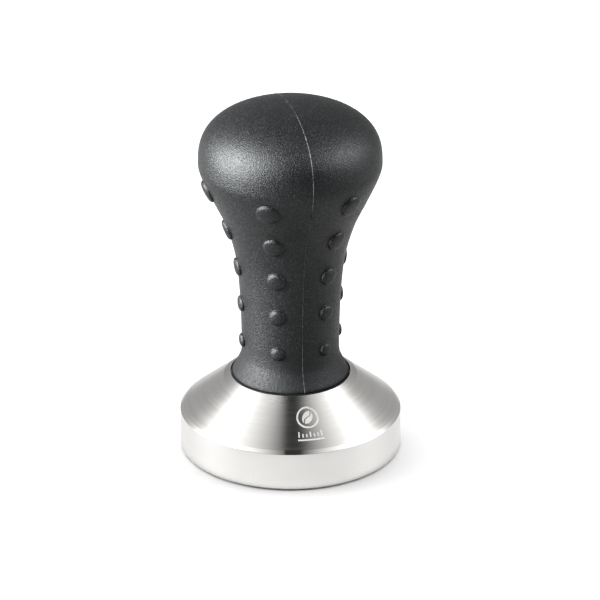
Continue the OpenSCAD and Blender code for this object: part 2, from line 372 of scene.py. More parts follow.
def moulded_plastic(name):
    """Glass-filled nylon: near black, with short pale fibres just under a matt skin."""
    material, nodes, links, shader = new_material(name)
    x, y, z = object_axes(nodes, links)[1:]
    stretched = combine(nodes, links,
                        math_node(nodes, links, "MULTIPLY", x, 3.0),
                        math_node(nodes, links, "MULTIPLY", y, 3.0), z)
    fibres = noise_of(nodes, links, stretched, 900.0, 4.0, 0.7)
    colour = mix_colour(nodes, links, map_range(nodes, links, fibres, 0.55, 0.75, 0.0, 1.0),
                        (0.018, 0.018, 0.019, 1.0), (0.055, 0.055, 0.057, 1.0))
    links.new(colour, shader.inputs["Base Color"])
    links.new(map_range(nodes, links, fibres, 0.3, 0.7, 0.48, 0.62), shader.inputs["Roughness"])
    links.new(bump(nodes, links, fibres, 0.00008, 0.3), shader.inputs["Normal"])
    return material


def washer_rubber(name):
    """Smooth black elastomer with a faint moulding texture. Its near-black colour is partly the rubber's
    own and partly painted shade for the gap round the handle's foot.
    """
    material, nodes, links, shader = new_material(name)
    mottle = noise_of(nodes, links, object_coords(nodes), 1500.0, 3.0)
    # Near-black colour: partly the black rubber's own, partly painted shade in the gap round the foot.
    colour = mix_colour(nodes, links, mottle, (0.003, 0.003, 0.003, 1.0), (0.007, 0.007, 0.007, 1.0))
    links.new(colour, shader.inputs["Base Color"])
    links.new(map_range(nodes, links, mottle, 0.3, 0.7, 0.62, 0.78), shader.inputs["Roughness"])
    shader.inputs["Specular IOR Level"].default_value = 0.2
    links.new(bump(nodes, links, mottle, 0.00004, 0.3), shader.inputs["Normal"])
    return material


def etched_white(name):
    """Laser-etched steel: pale, matt and finely pitted."""
    material, nodes, links, shader = new_material(name)
    pits = noise_of(nodes, links, object_coords(nodes), 5200.0, 3.0, 0.7)
    colour = mix_colour(nodes, links, map_range(nodes, links, pits, 0.3, 0.7, 0.0, 1.0),
                        (0.70, 0.69, 0.67, 1.0), (0.95, 0.94, 0.92, 1.0))
    links.new(colour, shader.inputs["Base Color"])
    shader.inputs["Metallic"].default_value = 0.15
    links.new(map_range(nodes, links, pits, 0.3, 0.7, 0.6, 0.8), shader.inputs["Roughness"])
    links.new(bump(nodes, links, pits, 0.00002, 0.4), shader.inputs["Normal"])
    return material


# The parting line's angle round the axis.
SEAM_ANGLE = math.radians(14.25)

satin_band = turned_steel("satin_band", (0.74, 0.73, 0.715), 0.30, across=5000, along=25, groove=6e-6,
                          anisotropic=0.5, spread=0.03, tone=0.965)
mirror_chamfer = turned_steel("mirror_chamfer", (0.80, 0.79, 0.77), 0.07, across=3000, along=15,
                              groove=2e-6, anisotropic=0.0, spread=0.01)
brushed_cone = turned_steel("brushed_cone", (0.78, 0.77, 0.75), 0.25, across=7000, along=30, groove=8e-6,
                            anisotropic=0.85, edge=0.65)
turned_face = turned_steel("turned_face", (0.76, 0.75, 0.73), 0.22, across=4000, along=12, groove=1.5e-5,
                           anisotropic=0.7)
black_oxide = turned_steel("black_oxide", (0.075, 0.075, 0.08), 0.34, across=2600, along=200,
                           groove=1e-5, anisotropic=0.0)
turned_brass = turned_steel("turned_brass", (0.72, 0.53, 0.24), 0.28, across=5000, along=60,
                            groove=1e-5, anisotropic=0.0)
grip_skin_mat = soft_touch("soft_touch_skin", SEAM_ANGLE)
core_plastic = moulded_plastic("core_nylon")
black_rubber_and_shade = washer_rubber("washer_rubber")
etched = etched_white("etched_mark")


# ---- base ----

CHAMFER_W = 0.85
BAND_TOP = 9.9
RIM_R = 16.0
RECESS_R = 15.75
HOLE_R = 5.05
HOLE_BEVEL = 0.6

BASE_OUTLINE = [(0, 0), (BASE_R, 0), (BASE_R, BAND_TOP), (BASE_R - CHAMFER_W, BAND_TOP + CHAMFER_W),
                (RIM_R, RIM_Z), (RECESS_R, RIM_Z), (RECESS_R, SEAT_Z),
                (HOLE_R + HOLE_BEVEL, SEAT_Z), (HOLE_R, SEAT_Z - HOLE_BEVEL),
                (HOLE_R, STUD_Z), (0, STUD_Z)]
BASE_ROUNDING = [0, 0.2, 0.10, 0.10, 0.10, 0.05, 0.1, 0, 0, 0, 0]


def densify(outline, longest):
    """Splits the long straight stretches, so that shading and silhouette stay true."""
    out = [outline[0]]
    for a, b in zip(outline, outline[1:]):
        parts = max(1, math.ceil((Vector(b) - Vector(a)).length / longest))
        out += [tuple(Vector(a).lerp(Vector(b), k / parts)) for k in range(1, parts + 1)]
    return out


def make_base():
    """The turned base, with a finish for each zone of its outline."""
    outline = densify(rounded(BASE_OUTLINE, BASE_ROUNDING, 5), 2.0)
    face, band, chamfer, cone = range(4)

    def zone(i):
        # The margins of under 0.4 mm give each rounded edge the finish of the zone it belongs to.
        (r0, z0), (r1, z1) = outline[i], outline[(i + 1) % len(outline)]
        r, z = (r0 + r1) / 2, (z0 + z1) / 2
        if z < 0.1 and r < BASE_R - 0.1:
            return face
        if z < BAND_TOP - 0.02 and r > BASE_R - 0.3:
            return band
        if r > BASE_R - CHAMFER_W - 0.02 and z < BAND_TOP + CHAMFER_W + 0.02:
            return chamfer
        if z > SEAT_Z and r > RIM_R - 0.05 and z < RIM_Z - 0.08:
            return cone
        return chamfer if z > SEAT_Z + 0.3 else face

    base = lathe("tamper_base_turned", outline, 384,
                 [turned_face, satin_band, mirror_chamfer, brushed_cone], zone, sharp=28)
    finish_piece(base, "base", "tamper_base")
    return base


# ---- etched mark: a coffee bean in a ring, over a row of ticks and a bar ----

# The mark's middle is at MARK_MID of the way up the cone. The other lengths are millimetres.
MARK_ANGLE = math.radians(12.0)
MARK_MID = 0.47
MARK_PROUD = 0.02
RING_UP = 1.9
RING_R = 3.1
RING_LINE = 0.5
BEAN_WIDE, BEAN_LONG = 1.35, 1.95
BEAN_TILT = math.radians(-32)
BEAN_CREASE = 0.17
MARK_TICKS = 7
TICK_STEP = 0.9
TICK_HALF = 0.16
TICK_FOOT = -3.7
TICK_TOPS = (-2.15, -2.75)
BAR_HALF = 3.0
BAR_LOW, BAR_HIGH = -4.7, -4.25


def on_cone(a, b, lift):
    """A point of the cone: a is to the right and b up the slope from the mark's middle, in mm."""
    low = Vector((BASE_R - CHAMFER_W, BAND_TOP + CHAMFER_W))
    high = Vector((RIM_R, RIM_Z))
    slope = (high - low).normalized()
    p = low.lerp(high, MARK_MID) + slope * b + Vector((slope.y, -slope.x)) * lift
    mid_r = low.lerp(high, MARK_MID).x
    return at(p.x, MARK_ANGLE + a / mid_r, p.y)


def plate_between(outer, inner, verts, faces):
    """A thin plate between two outlines with the same number of points."""
    n = len(outer)
    first = len(verts)
    for lift in (MARK_PROUD, -MARK_PROUD):
        for line in (outer, inner):
            verts += [on_cone(a, b, lift) for a, b in line]
    for j in range(n):
        k = (j + 1) % n
        o, i, p, q = first, first + n, first + 2 * n, first + 3 * n
        faces += [(o + j, o + k, i + k, i + j), (p + k, p + j, q + j, q + k),
                  (o + k, o + j, p + j, p + k), (i + j, i + k, q + k, q + j)]


def circle_round(up, radius, count=96):
    return [(radius * math.cos(2 * math.pi * k / count), up + radius * math.sin(2 * math.pi * k / count))
            for k in range(count)]


def bean_half(side, count=28):
    """Half a coffee bean: the ellipse's edge on one side, and an S-shaped crease on the other."""
    edge, crease = [], []
    for k in range(count):
        t = k / (count - 1)
        y = BEAN_LONG * 0.97 * math.sin(math.pi * (t - 0.5))
        reach = BEAN_WIDE * math.sqrt(max(0.0, 1 - (y / BEAN_LONG) ** 2))
        bend = BEAN_WIDE * 0.28 * math.sin(math.pi * y / BEAN_LONG)
        inner = bend + side * BEAN_CREASE * min(1.0, reach / (2 * BEAN_CREASE))
        outer = side * max(reach, abs(inner) + 0.01 if inner * side > 0 else 0.01)
        for line, x in ((edge, outer), (crease, inner)):
            line.append((x * math.cos(BEAN_TILT) - y * math.sin(BEAN_TILT),
                         RING_UP + x * math.sin(BEAN_TILT) + y * math.cos(BEAN_TILT)))
    return edge, crease


def strip_plate(line_a, line_b, verts, faces):
    """A thin closed plate between two open lines: line_b is to the left of line_a, going along it."""
    n = len(line_a)
    first = len(verts)
    for lift in (MARK_PROUD, -MARK_PROUD):
        for line in (line_a, line_b):
            verts += [on_cone(a, b, lift) for a, b in line]
    o, i, p, q = first, first + n, first + 2 * n, first + 3 * n
    for j in range(n - 1):
        k = j + 1
        faces += [(o + j, o + k, i + k, i + j), (p + k, p + j, q + j, q + k),
                  (o + k, o + j, p + j, p + k), (i + j, i + k, q + k, q + j)]
    faces += [(o, i, q, p), (o + n - 1, p + n - 1, q + n - 1, i + n - 1)]


def make_mark():
    """The mark as thin plates, half sunk into the cone."""
    verts, faces = [], []
    plate_between(circle_round(RING_UP, RING_R), circle_round(RING_UP, RING_R - RING_LINE), verts, faces)
    for side in (-1, 1):
        edge, crease = bean_half(side)
        right, left = (edge, crease) if side > 0 else (crease, edge)
        strip_plate(right, left, verts, faces)
    for k in range(MARK_TICKS):
        x = (k - (MARK_TICKS - 1) / 2) * TICK_STEP
        top = TICK_TOPS[0] if k % 3 == 0 else TICK_TOPS[1]
        right, left = x + TICK_HALF, x - TICK_HALF
        strip_plate([(right, TICK_FOOT), (right, top)], [(left, TICK_FOOT), (left, top)], verts, faces)
    bar = np.linspace(-BAR_HALF, BAR_HALF, 25)
    strip_plate([(x, BAR_LOW) for x in bar], [(x, BAR_HIGH) for x in bar], verts, faces)
    mark = add_mesh("etched_mark", verts, faces, [etched])
    finish_piece(mark, "base", None)
    return mark


# ---- handle outline, as in the CAD ----

# FLARE and SWELL are (share of the height from the rim to the head, share of the change in radius):
# from the foot in to the neck, and from the neck out to the head. CROWN_* are the head's exponents.
FOOT_R = 15.2
NECK_R = 12.8
FOOT_EDGE = 0.3
FLARE = [(0.0085, 1), (0.045, 0.5), (0.095, 0.04)]
SWELL = [(0.2, 0), (0.4, 0.04), (0.57, 0.14), (0.72, 0.37), (0.84, 0.67), (0.94, 0.915), (1, 1)]
CROWN_UP = 2.75
CROWN_OUT = 2.15

STATIONS = ([(RIM_Z + s * (HEAD_Z - RIM_Z), NECK_R + f * (FOOT_R - NECK_R)) for s, f in FLARE]
            + [(RIM_Z + s * (HEAD_Z - RIM_Z), NECK_R + f * (HEAD_R - NECK_R)) for s, f in SWELL])


def station_slope(i):
    if i == len(STATIONS) - 1:
        return 0.0
    a, b = STATIONS[max(i - 1, 0)], STATIONS[i + 1]
    return (b[1] - a[1]) / (b[0] - a[0])


def side_curve(depth, per_stretch):
    """Outline of the handle's side as (radius, height), moved in by a depth."""
    out = []
    for i in range(len(STATIONS) - 1):
        (z0, r0), (z1, r1) = STATIONS[i], STATIONS[i + 1]
        h = z1 - z0
        for k in range(per_stretch):
            t = k / per_stretch
            r = ((2 * t**3 - 3 * t**2 + 1) * r0 + (t**3 - 2 * t**2 + t) * h * station_slope(i)
                 + (3 * t**2 - 2 * t**3) * r1 + (t**3 - t**2) * h * station_slope(i + 1))
            out.append((r - depth, z0 + h * t))
    return out


def crown_curve(depth, count):
    """Outline over the head, from its largest radius to the pole."""
    up, out = TOTAL_H - HEAD_Z - depth, HEAD_R - depth
    points = []
    for k in range(count + 1):
        a = math.pi / 2 * k / count
        r = 0.0 if k == count else out * math.cos(a) ** (2 / CROWN_OUT)
        points.append((r, HEAD_Z + up * math.sin(a) ** (2 / CROWN_UP)))
    return points


FOOT_STEPS = 40
SIDE_STEPS = 150
CROWN_STEPS = 1200


class Outline:
    """The skin's outside, measured along its length from the edge of the foot to the pole."""

    def __init__(self):
        corner = (FOOT_R - FOOT_EDGE, RIM_Z + FOOT_EDGE)
        foot = [(corner[0] + FOOT_EDGE * math.cos(a), corner[1] + FOOT_EDGE * math.sin(a))
                for a in np.linspace(-math.pi / 2, 0, FOOT_STEPS)]
        line = np.array(foot + side_curve(0, SIDE_STEPS) + crown_curve(0, CROWN_STEPS))
        step = np.hypot(*np.diff(line, axis=0).T)
        keep = np.append(True, step > 1e-6)
        line = line[keep]
        self.line = line
        self.s = np.append(0, np.cumsum(np.hypot(*np.diff(line, axis=0).T)))
        tangent = np.gradient(line, self.s, axis=0)
        tangent[-1] = (-1, 0)
        tangent /= np.hypot(*tangent.T)[:, None]
        self.normal = np.stack([tangent[:, 1], -tangent[:, 0]], 1)
        self.length = self.s[-1]
        side = slice(FOOT_STEPS, FOOT_STEPS + SIDE_STEPS * (len(STATIONS) - 1))
        self.side_z, self.side_s = line[side, 1], self.s[side]

    def s_at_height(self, z):
        return float(np.interp(z, self.side_z, self.side_s))

    def point(self, s, angle, lift=0.0):
        r = np.interp(s, self.s, self.line[:, 0])
        z = np.interp(s, self.s, self.line[:, 1])
        nr = np.interp(s, self.s, self.normal[:, 0])
        nz = np.interp(s, self.s, self.normal[:, 1])
        return at(r + nr * lift, angle, z + nz * lift)

    def radius(self, s):
        return float(np.interp(s, self.s, self.line[:, 0]))


# ---- grip skin with its nubs and its parting line ----

NUB_COLUMNS = 6
NUB_TURN = math.radians(-15)
NUB_HEIGHTS = [30.6, 41.1, 51.6, 62.3, 73.5]
NUB_D_LOW, NUB_D_HIGH = 3.6, 6.2
NUB_PROUD = 1.0
NUB_FOOT = 0.07
# The skin is a grid of columns and rows: SECTOR columns for each column of nubs, of which a block of
# CELLS by CELLS is cut out for each nub.
CELLS = 16
SECTOR = 36
COLUMN_STEP = 2 * math.pi / (NUB_COLUMNS * SECTOR)
ROW_SIDE, ROW_HEAD = 0.6, 0.62
FLASH_HALF = math.radians(0.30)
FLASH_PROUD = 0.09
FLASH_LEAST = 0.015
FLASH_START = 0.3
FLASH_FADE_R = 8.0
FLASH_ROUGH_Z = 36
NOTCH_Z, NOTCH_HALF, NOTCH_DEPTH = 73.2, 1.1, 0.18


def nub_profile(radius, proud):
    """Points (distance from the nub's middle, height over the skin), from its foot to its top.

    The two exponents make the dome fuller than a ball, with a steep side. Its last step, to the top,
    is a fan of triangles.
    """
    foot = [(radius + 0.16, 0.0), (radius + 0.05, 0.02), (radius, NUB_FOOT)]
    dome = [(radius * math.cos(a) ** 0.72, NUB_FOOT + (proud - NUB_FOOT) * math.sin(a) ** 0.82)
            for a in np.linspace(0.12, math.pi / 2 * 0.93, 11)]
    return foot + dome


def flash_height(z, side):
    """How far the parting line stands proud at a height, broken up as moulded flash is.

    The front one has a notch where the neck meets the head.
    """
    wave = noise.noise(Vector((z * 0.9, side * 7.3, 1.7)))
    fine = noise.noise(Vector((z * 3.1, side * 4.1, 5.2)))
    height = FLASH_PROUD * (0.85 + 0.35 * wave + 0.25 * fine)
    if side == 0 and abs(z - NOTCH_Z) < NOTCH_HALF:
        return -NOTCH_DEPTH
    if z < FLASH_ROUGH_Z:
        height *= 0.6 + 1.2 * abs(fine)
    return max(height, FLASH_LEAST)


def skin_columns():
    """Columns as (angle, side): side is 0 or 1 on the ridge of a parting line, else None.

    At each parting line the even columns make way for five narrow ones.
    """
    start = NUB_TURN - COLUMN_STEP * CELLS / 2
    angles = [(start + COLUMN_STEP * k, None) for k in range(NUB_COLUMNS * SECTOR)]
    for side in (0, 1):
        middle = SEAM_ANGLE + math.pi * side
        angles = [(a, f) for a, f in angles
                  if abs((a - middle + math.pi) % (2 * math.pi) - math.pi) > FLASH_HALF * 1.7]
        angles += [(middle + FLASH_HALF * w, side if w == 0 else None) for w in (-2.2, -1, 0, 1, 2.2)]
    return sorted(((a - start) % (2 * math.pi) + start, f) for a, f in angles)


def skin_rows(outline):
    """Stations along the outline, with even cells across every nub's block."""
    blocks = []
    for i, z in enumerate(NUB_HEIGHTS):
        s = outline.s_at_height(z)
        half = outline.radius(s) * COLUMN_STEP * CELLS / 2
        blocks.append((s, half, i))
    rows, starts = [0.0], []
    foot_edge = FOOT_EDGE * math.pi / 2
    rows += [foot_edge * k / 5 for k in range(1, 6)]
    for s, half, i in blocks:
        gap = s - half - rows[-1]
        count = max(3, math.ceil(gap / ROW_SIDE))
        rows += [rows[-1] + gap * k / count for k in range(1, count)]
        starts.append(len(rows))
        rows += [s - half + 2 * half * k / CELLS for k in range(CELLS + 1)]
    gap = outline.length - rows[-1]
    count = math.ceil(gap / ROW_HEAD)
    rows += [rows[-1] + gap * k / count for k in range(1, count)]
    return rows, blocks, starts


def square_line():
    """Grid steps round the edge of a block, as (column, row), anticlockwise seen from outside."""
    n = CELLS
    return ([(k, 0) for k in range(n)] + [(n, k) for k in range(n)]
            + [(n - k, n) for k in range(n)] + [(0, n - k) for k in range(n)])


def nearest_column(columns, angle):
    gaps = [abs((a - angle + math.pi) % (2 * math.pi) - math.pi) for a, f in columns]
    return int(np.argmin(gaps))


def add_grid(outline, columns, rows, taken, verts, faces):
    """The outside grid up to the pole, with the parting lines raised and the taken cells left open."""
    wide = len(columns)
    for s in rows:
        z = np.interp(s, outline.s, outline.line[:, 1])
        fade = min(1.0, (outline.radius(s) / FLASH_FADE_R) ** 2)
        for angle, flash in columns:
            lift = 0.0 if flash is None or s < FLASH_START else flash_height(z, flash) * fade
            verts.append(outline.point(s, angle, lift))
    pole = len(verts)
    verts.append((0, 0, TOTAL_H))
    for i in range(len(rows) - 1):
        for j in range(wide):
            if (i, j) in taken:
                continue
            k = (j + 1) % wide
            faces.append((i * wide + j, i * wide + k, (i + 1) * wide + k, (i + 1) * wide + j))
    last = (len(rows) - 1) * wide
    faces += [(last + j, last + (j + 1) % wide, pole) for j in range(wide)]


def add_nub(outline, s0, half, middle, radius, ring, verts, faces):
    """A polar patch that fills a block: rings from its square edge to the nub's circle, and its dome."""
    reach = outline.radius(s0)
    profile = nub_profile(radius, NUB_PROUD)
    flat = [(half * (2 * u / CELLS - 1), half * (2 * v / CELLS - 1)) for u, v in square_line()]
    circle = [Vector(p).normalized() for p in flat]
    foot_r = profile[0][0]
    targets = []
    for t in (0.34, 0.67):
        targets.append([(p[0] + (q.x * foot_r - p[0]) * t, p[1] + (q.y * foot_r - p[1]) * t, 0.0)
                        for p, q in zip(flat, circle)])
    for rho, lift in profile:
        targets.append([(q.x * rho, q.y * rho, lift) for q in circle])
    count = len(ring)
    for target in targets:
        first = len(verts)
        verts += [outline.point(s0 + b, middle + a / reach, lift) for a, b, lift in target]
        new = list(range(first, first + count))
        faces += [(ring[j], ring[(j + 1) % count], new[(j + 1) % count], new[j]) for j in range(count)]
        ring = new
    top = len(verts)
    verts.append(outline.point(s0, middle, NUB_PROUD))
    faces += [(ring[j], ring[(j + 1) % count], top) for j in range(count)]


def add_inside(columns, verts, faces):
    """The face under the foot, and the inside against the core."""
    wide = len(columns)
    inner = [(FOOT_R - SKIN_T, RIM_Z)] + side_curve(SKIN_T, 4) + crown_curve(SKIN_T, 24)[:-1]
    previous = list(range(wide))
    for r, z in inner:
        first = len(verts)
        verts += [at(r, angle, z) for angle, f in columns]
        new = list(range(first, first + wide))
        faces += [(previous[(j + 1) % wide], previous[j], new[j], new[(j + 1) % wide])
                  for j in range(wide)]
        previous = new
    verts.append((0, 0, TOTAL_H - SKIN_T))
    faces += [(previous[(j + 1) % wide], previous[j], len(verts) - 1) for j in range(wide)]


def make_skin():
    outline = Outline()
    columns = skin_columns()
    rows, blocks, starts = skin_rows(outline)
    wide = len(columns)
    middles = [NUB_TURN + c * 2 * math.pi / NUB_COLUMNS for c in range(NUB_COLUMNS)]
    first_columns = [nearest_column(columns, middle - COLUMN_STEP * CELLS / 2) for middle in middles]
    taken = {(r0 + i, (c0 + j) % wide) for c0 in first_columns for r0 in starts
             for i in range(CELLS) for j in range(CELLS)}
    verts, faces = [], []
    add_grid(outline, columns, rows, taken, verts, faces)
    for (s0, half, i), r0 in zip(blocks, starts):
        radius = (NUB_D_LOW + (NUB_D_HIGH - NUB_D_LOW) * i / (len(blocks) - 1)) / 2
        for middle, c0 in zip(middles, first_columns):
            ring = [(r0 + v) * wide + (c0 + u) % wide for u, v in square_line()]
            add_nub(outline, s0, half, middle, radius, ring, verts, faces)
    add_inside(columns, verts, faces)
    skin = add_mesh("grip_skin_moulded", verts, faces, [grip_skin_mat], sharp=40)
    finish_piece(skin, "handle", "grip_skin")


# ---- screw thread ----

TURN_STEPS = 96
PITCH = 1.5
FLANK = math.tan(math.radians(30))


def screw_point(r, z, j):
    """Steps go anticlockwise seen from above, starting on the +X side as in the CAD."""
    angle = 2 * math.pi * j / TURN_STEPS
    return (r * math.cos(angle), r * math.sin(angle), z)


def threaded_solid(tooth, z_first, turns, ring_low, rings_after, closed):
    """A thread as one closed skin.

    tooth: points (height, radius) from root to root. ring_low: (radius, height) below the thread.
    rings_after: rings above the thread, each a list of points or (radius, height).
    closed: True joins the last ring back to the first one, False caps both ends.
    """
    n, m = TURN_STEPS, len(tooth)
    root = tooth[0][1]
    verts = [screw_point(ring_low[0], ring_low[1], j) for j in range(n)]
    grid = n
    for t in range(turns):
        for dz, r in tooth:
            for j in range(n):
                depth = 1.0
                if t == 0:
                    depth = min(1.0, 2 * j / n)
                elif t == turns - 1:
                    depth = min(1.0, 2 * (n - j) / n)
                height = z_first + dz + PITCH * (t + j / n)
                verts.append(screw_point(root + (r - root) * depth, height, j))
    closing = len(verts)
    verts += [screw_point(root, z_first + dz + PITCH * turns, 0) for dz, r in tooth]
    rows = turns * m

    def index(k, j):
        if j < n:
            return grid + k * n + j
        return grid + (k + m) * n if k + m < rows else closing + k + m - rows

    faces = []
    for k in range(rows - 1):
        for j in range(n):
            faces.append((index(k, j), index(k, j + 1), index(k + 1, j + 1), index(k + 1, j)))
    for j in range(n - 1):
        faces.append((j, j + 1, index(0, j + 1), index(0, j)))
    seam = [0] + [index(k, 0) for k in range(m + 1)] + [index(0, n - 1)]
    faces += [(n - 1, a, b) for a, b in zip(seam, seam[1:])]
    ring = []
    for after in rings_after:
        first = len(verts)
        verts += after if isinstance(after, list) else [screw_point(*after, j) for j in range(n)]
        new = list(range(first, first + n))
        if not ring:
            top = [index(rows - 1, j) for j in range(n)]
            for j in range(1, n - 1):
                faces.append((top[j], top[j + 1], new[j + 1], new[j]))
            faces.append((top[n - 1], closing + m - 1, new[0], new[n - 1]))
            seam = [new[0]] + [closing + k for k in range(m - 1, -1, -1)] + [top[0], top[1]]
            faces += [(new[1], a, b) for a, b in zip(seam, seam[1:])]
        else:
            faces += [(ring[j], ring[(j + 1) % n], new[(j + 1) % n], new[j]) for j in range(n)]
        ring = new
    if closed:
        faces += [(ring[j], ring[(j + 1) % n], (j + 1) % n, j) for j in range(n)]
        faces = [tuple(reversed(f)) for f in faces]
    else:
        faces.append(tuple(reversed(range(n))))
        faces.append(tuple(ring))
    return verts, faces


def hexagon(across_flats, z):
    """A hexagonal ring with as many points as the screw's rings."""
    side = TURN_STEPS // 6
    points = []
    for j in range(TURN_STEPS):
        k, t = divmod(j, side)
        a, b = [Vector((math.cos(math.radians(60 * i)), math.sin(math.radians(60 * i))))
                for i in (k, k + 1)]
        p = a.lerp(b, t / side) * across_flats / math.sqrt(3)
        points.append((p.x, p.y, z))
    return points


# The stud's tooth and the insert's ridge interleave with play: ROOT_R to STUD_R, and BORE_R to GROOVE_R.
ROOT_R = 4.1
BORE_R = 4.19
GROOVE_R = 5.05
TOOTH_TIP = 0.06
RIDGE_TIP = 0.17
LEAD = 0.4
TOOTH_BASE = TOOTH_TIP + (STUD_R - ROOT_R) * FLANK
RIDGE_BASE = RIDGE_TIP + (GROOVE_R - BORE_R) * FLANK
STUD_FIRST = STUD_Z + LEAD + TOOTH_BASE
HEX_AF = 5.0
HEX_DEPTH = 5.0
STUD_END_R = 3.6


def make_stud():
    turns = math.floor((STUD_TOP - STUD_Z - 2 * LEAD - 2 * TOOTH_BASE) / PITCH)
    tooth = [(-TOOTH_BASE, ROOT_R), (-TOOTH_TIP, STUD_R), (TOOTH_TIP, STUD_R), (TOOTH_BASE, ROOT_R)]
    after = [(ROOT_R, STUD_TOP - 0.5), (STUD_END_R, STUD_TOP - 0.02), (STUD_END_R - 0.05, STUD_TOP),
             hexagon(HEX_AF + 0.2, STUD_TOP), hexagon(HEX_AF, STUD_TOP - 0.12),
             hexagon(HEX_AF, STUD_TOP - HEX_DEPTH)]
    verts, faces = threaded_solid(tooth, STUD_FIRST, turns, (STUD_END_R, STUD_Z), after, False)
    stud = add_mesh("stud_threaded", verts, faces, [black_oxide], sharp=30)
    finish_piece(stud, "base", "threaded_stud")


def knurl_ring(radius, z, depth):
    """A ring with straight knurling: fine teeth round the insert."""
    return [screw_point(radius - (depth if j % 2 else 0.0), z, j) for j in range(TURN_STEPS)]


INSERT_BORE_R = 5.4
INSERT_LEAD = 0.3


def make_insert():
    """The brass insert: its ridges lie half a pitch from the stud's teeth."""
    first = STUD_FIRST + PITCH / 2 + PITCH * math.ceil(
        (INSERT_Z + INSERT_LEAD + RIDGE_BASE - STUD_FIRST - PITCH / 2) / PITCH)
    turns = math.floor((INSERT_TOP - INSERT_LEAD - RIDGE_BASE - first) / PITCH)
    ridge = [(-RIDGE_BASE, GROOVE_R), (-RIDGE_TIP, BORE_R), (RIDGE_TIP, BORE_R), (RIDGE_BASE, GROOVE_R)]
    edge, groove, half = 0.4, 0.8, 0.7
    middle = (INSERT_Z + INSERT_TOP) / 2
    knurl = 0.22
    after = [(INSERT_BORE_R, INSERT_TOP), (INSERT_R - edge, INSERT_TOP),
             knurl_ring(INSERT_R, INSERT_TOP - edge, knurl),
             knurl_ring(INSERT_R, middle + half + groove, knurl),
             (INSERT_R - groove, middle + half), (INSERT_R - groove, middle - half),
             knurl_ring(INSERT_R, middle - half - groove, knurl),
             knurl_ring(INSERT_R, INSERT_Z + edge, knurl), (INSERT_R - edge, INSERT_Z)]
    verts, faces = threaded_solid(ridge, first, turns, (INSERT_BORE_R, INSERT_Z), after, True)
    insert = add_mesh("insert_knurled", verts, faces, [turned_brass], sharp=30)
    finish_piece(insert, "handle", "threaded_insert")


WASHER_HOLE_R = 6.5
WASHER_EDGE = 0.12


def make_washer():
    z0, z1 = SEAT_Z, top_of("seat_washer")
    middle = (WASHER_HOLE_R + WASHER_R) / 2
    outline = rounded([(middle, z0), (WASHER_R, z0), (WASHER_R, z1), (WASHER_HOLE_R, z1),
                       (WASHER_HOLE_R, z0), (middle - 0.1, z0)],
                      [0, WASHER_EDGE, WASHER_EDGE, WASHER_EDGE, WASHER_EDGE, 0])
    washer = lathe("washer_ring", outline, 256, [black_rubber_and_shade])
    finish_piece(washer, "washer", "seat_washer")


def dress_core():
    """The core and its cap keep their CAD shape and get the moulded plastic."""
    for name in ("core_body", "core_cap"):
        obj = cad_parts[name]
        obj.data.materials.clear()
        obj.data.materials.append(core_plastic)


# ---- studio ----

# Light of the world by direction. The walls are dim in front and behind and bright at the sides.
# The ceiling is listed as (direction's x, light), with a dark strip over the middle. The table is
# what reflections see below the horizon: its part near the camera is brighter than its far part.
WALL_BACK = 0.40
WALL_FRONT = 0.06
WALL_LEFT = 2.9
WALL_RIGHT = 2.3
WALL_SIDE_POWER = 6.0
CEILING = [(-1.0, 2.4), (-0.64, 1.7), (-0.50, 1.15), (-0.085, 0.21), (-0.065, 0.045), (0.12, 0.05),
           (0.56, 1.1), (0.64, 1.6), (1.0, 2.4)]
CEILING_MOST = 2.4
TABLE_LEFT = 1.14
TABLE_RIGHT = 0.94
TABLE_NEAR = 1.05
TABLE_FAR = 0.89

# Where one part of the world passes into the next: ranges of the direction's x, y or z.
FRONT_TO_BACK = (-0.45, 0.10)
LEFT_TO_RIGHT = (-0.5, 0.5)
WALL_TO_CEILING = (0.57, 0.82)
TABLE_TO_WALL = (-0.34, -0.04)
SIDES_FADE = (-0.25, 0.0)
NEAR_TO_FAR = (0.0, 0.6)

# The floor is this far under the object, and the patch is this much over the floor, in millimetres.
FLOOR_GAP = 0.5
PATCH_LIFT = 0.005
PATCH_R = 30.6
PATCH_STEPS = 120
FLOOR_HALF = 3.0


def softbox(name, direction, distance, size, radiance, colour=(1, 1, 1)):
    """A rectangular area light that faces the object: distance and size (width, height) in metres."""
    data = bpy.data.lights.new(name, "AREA")
    data.shape = "RECTANGLE"
    data.size, data.size_y = size
    data.energy = radiance * math.pi * size[0] * size[1]
    data.color = colour
    light = bpy.data.objects.new(name, data)
    aim = Vector((0, 0, TOTAL_H * MM / 2))
    light.location = aim + Vector(direction).normalized() * distance
    light.rotation_euler = (aim - light.location).to_track_quat("-Z", "Y").to_euler()
    light.visible_camera = False
    bpy.context.scene.collection.objects.link(light)
    return light


def floor_white():
    material, nodes, links, shader = new_material("floor_white")
    paper = noise_of(nodes, links, object_coords(nodes), 300.0, 2.0)
    links.new(mix_colour(nodes, links, paper, (0.92, 0.92, 0.92, 1.0), (0.94, 0.94, 0.94, 1.0)),
              shader.inputs["Base Color"])
    shader.inputs["Roughness"].default_value = 0.9
    shader.inputs["Specular IOR Level"].default_value = 0.2
    return material


def flat_stage(name, corners, material):
    """A flat face that is part of the studio."""
    mesh = bpy.data.meshes.new(name)
    mesh.from_pydata(corners, [], [tuple(range(len(corners)))])
    mesh.materials.append(material)
    stage = bpy.data.objects.new(name, mesh)
    bpy.context.scene.collection.objects.link(stage)
    return stage


